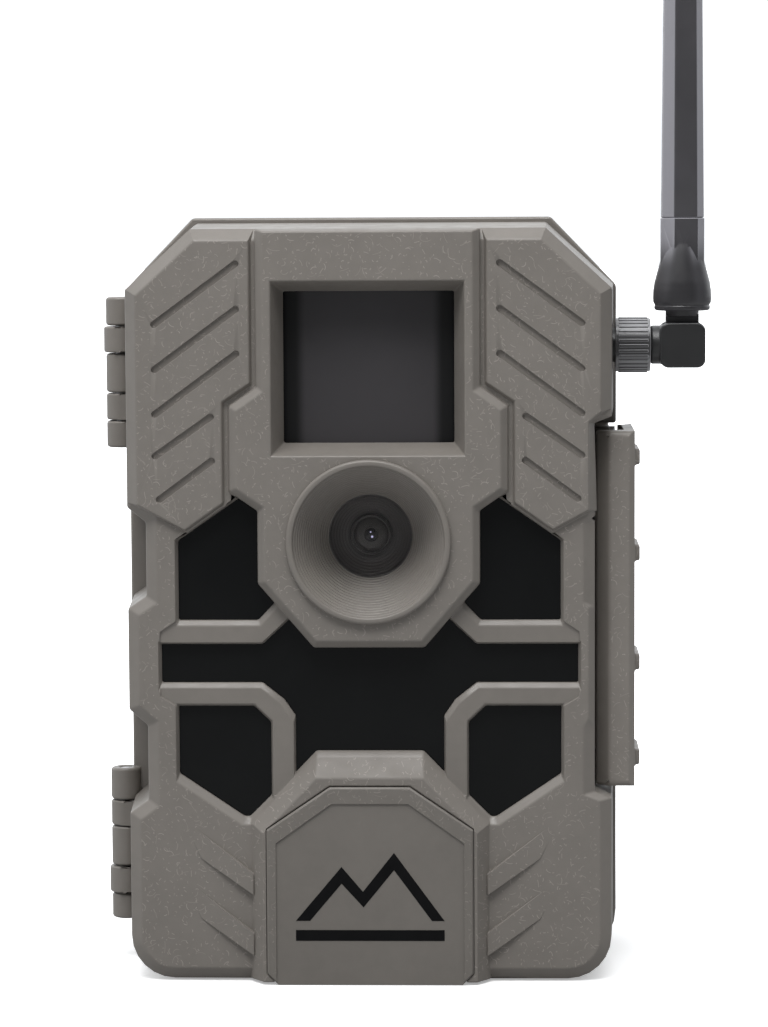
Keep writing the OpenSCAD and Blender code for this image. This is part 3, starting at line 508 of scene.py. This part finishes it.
def weigh_edges(work, width):
    """Marks the sharp edges to be rounded, with a smaller weight where there is little room.

    A rounding takes up at most a share of the room. The weight then changes by at most a step from one edge
    to the next along a line, so that a narrow place doesn't end in a notch.
    """
    share, step, passes = 0.42, 1.25, 12
    layers = work.edges.layers.float
    weight = layers.get("bevel_weight_edge") or layers.new("bevel_weight_edge")
    for edge in work.edges:
        if len(edge.link_faces) == 2 and edge.calc_face_angle(0) > MIN_SHARP:
            room = min(room_beside(loop) for loop in edge.link_loops)
            edge[weight] = max(0.0, min(1.0, share * room / width))
    for _ in range(passes):
        level = {edge: edge[weight] for edge in work.edges if edge[weight] > 0}
        for edge in level:
            along = (edge.verts[1].co - edge.verts[0].co).normalized()
            for vert in edge.verts:
                for other in vert.link_edges:
                    if other is edge or other not in level:
                        continue
                    run = (other.other_vert(vert).co - vert.co).normalized()
                    if abs(run.dot(along)) > 0.7:
                        edge[weight] = min(edge[weight], step * level[other])


def refine_grooves(work):
    """Rims of grooves and holes cut into front faces keep only a share of their rounding."""
    weight = work.edges.layers.float["bevel_weight_edge"]

    def is_rim(edge):
        return edge[weight] > 0 and sum(face.normal.y < -0.99 for face in edge.link_faces) == 1

    left = {edge for edge in work.edges if is_rim(edge)}
    while left:
        ring, reach = [], [left.pop()]
        while reach:
            edge = reach.pop()
            ring.append(edge)
            beside = {other for vert in edge.verts for other in vert.link_edges} & left
            left -= beside
            reach += beside
        points = [vert.co for edge in ring for vert in edge.verts]
        span = [max(p[k] for p in points) - min(p[k] for p in points) for k in (0, 2)]
        if math.hypot(*span) < GROOVE_LENGTH:
            for edge in ring:
                edge[weight] *= GROOVE_SHARE


def rounded(node, width, look=None):
    """A cleaned copy of a CAD node with rounded edges, riding on the node's body in its place."""
    work = joined_faces(node)
    weigh_edges(work, width)
    if node == "front_cover":
        refine_grooves(work)
    many_sided = [face for face in work.faces if len(face.verts) > 4]
    bmesh.ops.triangulate(work, faces=many_sided, ngon_method="BEAUTY")
    mesh = bpy.data.meshes.new(node + "_shape")
    work.to_mesh(mesh)
    work.free()
    mesh.shade_smooth()
    made = link(node + "_shape", mesh)
    bevel = made.modifiers.new("rounding", "BEVEL")
    bevel.limit_method = "WEIGHT"
    bevel.width = width
    bevel.segments = ROUND_SEGMENTS
    bevel.use_clamp_overlap = False
    bevel.face_strength_mode = "FSTR_ALL"
    bevel.loop_slide = False
    bevel.miter_outer = "MITER_SHARP"
    shading = made.modifiers.new("shading", "WEIGHTED_NORMAL")
    shading.mode = "FACE_AREA"
    shading.keep_sharp = True
    shading.use_face_influence = True
    mesh.materials.append(look or LOOKS[SLOT_OF[node]])
    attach(made, BODY_OF[node])
    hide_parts(node)


def dressed(node):
    """A CAD node that keeps its own mesh and gets its finish."""
    shown = NODES[node]
    shown.data.materials.clear()
    shown.data.materials.append(LOOK_OF.get(node) or LOOKS[SLOT_OF[node]])
    shown.data.shade_smooth()
    shown.data.set_sharp_from_angle(angle=CREASE)


# Width of the rounding of each node's edges, in mm
ROUNDINGS = {
    "rear_case": 0.5, "front_cover": 0.32, "strap_bracket": 0.4, "latch_lever": 0.6,
    "badge_plate": 0.12, "dc_jack_plug": 0.25, "battery_tray": 0.35, "inner_panel": 0.25,
    "mode_switch": 0.2, "memory_card": 0.15, "ok_button": 0.4, "up_button": 0.35,
    "down_button": 0.35, "left_button": 0.35, "right_button": 0.35, "antenna_nut": 0.12,
    "antenna_elbow": 0.3, "antenna_sleeve": 0.15, "antenna_whip": 0.3, "display_module": 0.2,
    "card_slot": 0.12, "modem_module": 0.2, "bracket_screws": 0.15, "panel_screws": 0.12,
    "tray_screws": 0.12, "tripod_insert": 0.2, "dc_jack": 0.15, "battery_cells": 0.5,
    "display_window": 0.15, "ir_window": 0.1, "motion_lens": 0.1,
}
# Nodes whose finish isn't that of their material slot
LOOK_OF = {
    # Painted shade: the antenna socket takes the elbow's near-black finish in place of brass, for the shadow
    # beside the nut
    "front_cover": DOOR_LOOK, "latch_lever": LATCH_LOOK, "antenna_socket": ELBOW_LOOK,
    "antenna_nut": NUT_LOOK, "antenna_elbow": ELBOW_LOOK,
}
LATHED = ("lens_bezel", "lens_glass", "lens_barrel")
for node in NODES:
    if node in ROUNDINGS:
        rounded(node, ROUNDINGS[node] * MM, look=LOOK_OF.get(node))
    elif node not in LATHED:
        dressed(node)


# ---------- lens ----------


def lathe(node, profile, look):
    """Turns a profile of [radius, depth] points, in mm, about the lens's axis, in place of a CAD node."""
    work = bmesh.new()
    rings = []
    for radius, depth in profile:
        y = PART_Y - depth * MM
        if radius == 0:
            rings.append([work.verts.new((0, y, LENS_Z))] * TURNED_SEGMENTS)
            continue
        turns = [2 * math.pi * k / TURNED_SEGMENTS for k in range(TURNED_SEGMENTS)]
        rings.append([
            work.verts.new((radius * MM * math.cos(t), y, LENS_Z + radius * MM * math.sin(t))) for t in turns
        ])
    last = len(rings) if profile[0][0] else len(rings) - 1
    for i in range(last):
        inner, outer = rings[i], rings[(i + 1) % len(rings)]
        for k in range(TURNED_SEGMENTS):
            n = (k + 1) % TURNED_SEGMENTS
            corners = list(dict.fromkeys((inner[k], inner[n], outer[n], outer[k])))
            if len(corners) > 2:
                work.faces.new(corners)
    bmesh.ops.recalc_face_normals(work, faces=work.faces)
    mesh = bpy.data.meshes.new(node + "_turned")
    work.to_mesh(mesh)
    work.free()
    mesh.shade_smooth()
    mesh.set_sharp_from_angle(angle=math.radians(50))
    mesh.materials.append(look)
    made = link(node + "_turned", mesh)
    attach(made, BODY_OF[node])
    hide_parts(node)


RING_PITCH = 0.52  # mm between the rings of the funnel


def bezel_profile():
    """A rounded lip and a cone of fine rings that narrows towards the glass."""
    lip, mouth, throat, floor_depth, steps = 24.5, 13.8, 7.75, 12.0, 16
    points = [[15, 23.45], [15, lip - 0.45], [14.9, lip - 0.2], [14.7, lip - 0.04], [14.5, lip], [14.1, lip],
              [13.93, lip - 0.06]]
    fall, inward = (lip - 0.25 - floor_depth) / steps, (mouth - throat) / steps
    for i in range(steps):
        radius, depth = mouth - i * inward, lip - 0.25 - i * fall
        points += [[radius, depth], [radius - 0.05, depth - 0.62 * fall],
                   [radius - 0.11, depth - 0.82 * fall], [radius - 0.55 * inward, depth - 0.93 * fall]]
    return points + [[throat, floor_depth], [7.95, floor_depth], [7.95, 9.8], [9.5, 9.8], [9.5, 15.3],
                     [14.2, 15.3], [14.2, 23.45]]


def barrel_profile():
    """Back body, stepped black funnel, raised rim and the small domed front element with its iris."""
    points = [[0, 5], [6.4, 5], [6.4, 8.2], [7.75, 8.4], [7.75, 11.1], [7.5, 11.1]]
    for k in range(7):
        radius, depth = 7.3 - RING_PITCH * k, 10.9 - 0.4 * k
        points += [[radius, depth], [radius - 0.12, depth - 0.22], [radius - 0.4, depth - 0.3]]
    points += [[3.65, 8.1], [3.6, 9.0], [3.5, 9.15], [3.3, 9.15], [3.2, 9.0], [3.15, 8.3], [3.0, 8.3]]
    points += [[2.95 * math.cos(t), 8.35 + 0.5 * math.sin(t)] for t in (0.1, 0.35, 0.6, 0.85)]
    return points + [[1.25, 8.75], [1.15, 8.45], [1.05, 8.45], [0.8, 8.62], [0.4, 8.7], [0, 8.72]]


def lens_black(name):
    """Blackened metal and glass painted lighter than they are, with rings of painted shade in the funnel, a
    painted dark iris and two small painted glints in it.
    """
    look = Look(name)
    flat = look.vector("MULTIPLY", look.place, (1.0, 0.0, 1.0))
    glints = []
    # Two painted glints: small bluish-white glowing spots in place of reflections of lamps in the iris
    for x, z, size in ((-0.1, 0.42, 0.16), (0.16, -0.42, 0.26)):
        away = look.vector("DISTANCE", flat, (x * MM, 0.0, LENS_Z + z * MM), "Value")
        glints.append(look.fit(away, 0.5 * size * MM, size * MM, 1.0, 0.0))
    radius = look.vector("DISTANCE", flat, (0.0, 0.0, LENS_Z), "Value")
    # Rings of painted shade: the colour darkens in a thin band once per ring pitch
    step = look.math("FRACT", look.math("DIVIDE", radius, RING_PITCH * MM))
    ring = look.fit(step, 0.55, 0.9, 1.0, 0.55)
    # Painted light: both funnel colours are much paler than blackened metal, for the light the deep funnel
    # doesn't get
    funnel = look.mix(ring, rgba(0.075, 0.073, 0.076), rgba(0.15, 0.145, 0.15))
    # Painted shade: the centre of the front element is painted nearly black, as the dark of the aperture
    iris = look.fit(radius, 0.9 * MM, 1.4 * MM)
    element = look.mix(iris, rgba(0.012, 0.012, 0.016), rgba(0.065, 0.061, 0.061))
    look.set(
        Base_Color=look.mix(look.fit(radius, 3.4 * MM, 3.9 * MM), element, funnel),
        Roughness=look.fit(look.noise(300, 2.0), 0.3, 0.7, 0.28, 0.36),
        Emission_Color=rgba(0.55, 0.55, 0.85),
        Emission_Strength=look.math("MAXIMUM", *glints),
    )
    return look.material


lathe("lens_bezel", bezel_profile(), LOOKS["smooth_plastic"])
lathe("lens_glass", [[0, 11.25], [7.85, 11.25], [7.85, 11.75], [7.7, 11.9], [0, 12.0]], LOOKS["lens_glass"])
lathe("lens_barrel", barrel_profile(), lens_black("lens_black"))


# ---------- badge mark ----------


def badge_mark():
    """A printed outline of two peaks over a plain bar, as a thin inlay on the badge."""
    outlines = [
        [(-13.6, 12.0), (-5.2, 22.0), (-1.3, 17.4), (4.4, 24.6), (13.6, 12.0), (11.3, 12.0), (4.4, 21.4),
         (-1.2, 14.5), (-5.2, 18.9), (-11.0, 12.0)],
        [(-13.6, 8.3), (13.6, 8.3), (13.6, 10.3), (-13.6, 10.3)],
    ]
    work = bmesh.new()
    for outline in outlines:
        low, high = (
            [work.verts.new((x * MM, PART_Y - depth * MM, z * MM)) for x, z in outline]
            for depth in MARK_DEPTHS
        )
        work.faces.new(high)
        work.faces.new(low[::-1])
        for k, corner in enumerate(low):
            n = (k + 1) % len(low)
            work.faces.new((corner, low[n], high[n], high[k]))
    bmesh.ops.recalc_face_normals(work, faces=work.faces)
    mesh = bpy.data.meshes.new("badge_mark")
    work.to_mesh(mesh)
    work.free()
    mesh.materials.append(plain_plastic("mark_ink", (0.004, 0.004, 0.0045), 0.8, specular=0.15))
    made = link("badge_mark", mesh)
    soft = made.modifiers.new("soft_edges", "BEVEL")
    soft.width = 0.04 * MM
    soft.segments = 2
    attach(made, "door")


badge_mark()


# ---------- studio ----------


def floor():
    """Pale paper that runs out to pure white away from the case, and throws little light back up."""
    mesh = bpy.data.meshes.new("floor")
    work = bmesh.new()
    bmesh.ops.create_grid(work, x_segments=8, y_segments=8, size=6.0)
    work.to_mesh(mesh)
    work.free()
    made = link("floor", mesh)
    look = Look("floor_paper")
    seen = look.node("ShaderNodeLightPath").outputs["Is Camera Ray"]
    grain = look.mix(look.noise(30, 3.0), rgba(0.93, 0.93, 0.93), rgba(0.97, 0.97, 0.97))
    away = look.vector("LENGTH", look.place, output="Value")
    glow = look.math("MULTIPLY", look.fit(away, 0.04, 0.13, 0.35, 1.1), seen)
    look.set(
        Base_Color=look.mix(seen, rgba(0.42, 0.42, 0.42), grain),
        Roughness=0.9,
        Specular_IOR_Level=0.1,
        Emission_Color=rgba(1.0, 1.0, 1.0),
        Emission_Strength=glow,
    )
    mesh.materials.append(look.material)


def studio_world():
    """White behind, bright above and to the left, dim in front and to the right, as in a light tent."""
    world = bpy.data.worlds.new("studio")
    bpy.context.scene.world = world
    world.use_nodes = True
    world.node_tree.nodes.clear()
    graph = Graph(world.node_tree)
    toward = graph.node("ShaderNodeTexCoord").outputs["Generated"]
    x, y, z = (graph.axis(name, toward) for name in "XYZ")
    behind = graph.fit(y, 0.2, 0.6, 0.0, 1.2)
    left = graph.math("MULTIPLY", graph.fit(x, 0.1, -0.9), graph.fit(y, -0.9, 0.1, 0.12, 1.15))
    above = graph.fit(z, 0.3, 0.95, 0.0, 0.6)
    total = graph.math("ADD", graph.math("MAXIMUM", graph.math("MAXIMUM", behind, left), above), 0.13)
    seen = graph.node("ShaderNodeLightPath").outputs["Is Camera Ray"]
    strength = graph.node("ShaderNodeMix", {0: seen, 2: total, 3: 1.1}).outputs[0]
    sky = graph.node("ShaderNodeBackground", {"Color": rgba(0.95, 0.975, 1.0), "Strength": strength})
    graph.node("ShaderNodeOutputWorld", {"Surface": sky.outputs[0]})


def softbox(name, place, aim, size, power):
    """A rectangular area light that the camera doesn't see."""
    lamp = bpy.data.lights.new(name, "AREA")
    lamp.shape = "RECTANGLE"
    lamp.size, lamp.size_y = size
    lamp.energy = power
    made = bpy.data.objects.new(name, lamp)
    bpy.context.scene.collection.objects.link(made)
    made.location = place
    made.rotation_euler = (Vector(aim) - Vector(place)).to_track_quat("-Z", "Y").to_euler()
    made.visible_camera = False


def camera():
    """The photograph's viewpoint: from the front, a little to the latch side, looking slightly down."""
    lens = bpy.data.cameras.new("camera")
    lens.lens = 125.5
    lens.sensor_width = 36
    lens.clip_start = 0.01
    made = bpy.data.objects.new("camera", lens)
    bpy.context.scene.collection.objects.link(made)
    made.location = (23.84 * MM, -682.1 * MM, 145.1 * MM)
    yaw, pitch, roll = math.radians(1.834), math.radians(-5.165), math.radians(0.291)
    made.rotation_euler = (math.pi / 2 + pitch, roll, yaw)
    bpy.context.scene.camera = made


floor()
studio_world()
softbox("key_softbox", (-0.1, -0.34, 0.6), (0.0, -0.03, 0.1), (0.4, 0.2), 1.65)
softbox("top_softbox", (0.0, -0.3, 0.85), (0.0, -0.02, 0.07), (0.7, 0.4), 3.3)
camera()
bpy.context.scene.view_settings.view_transform = "Standard"
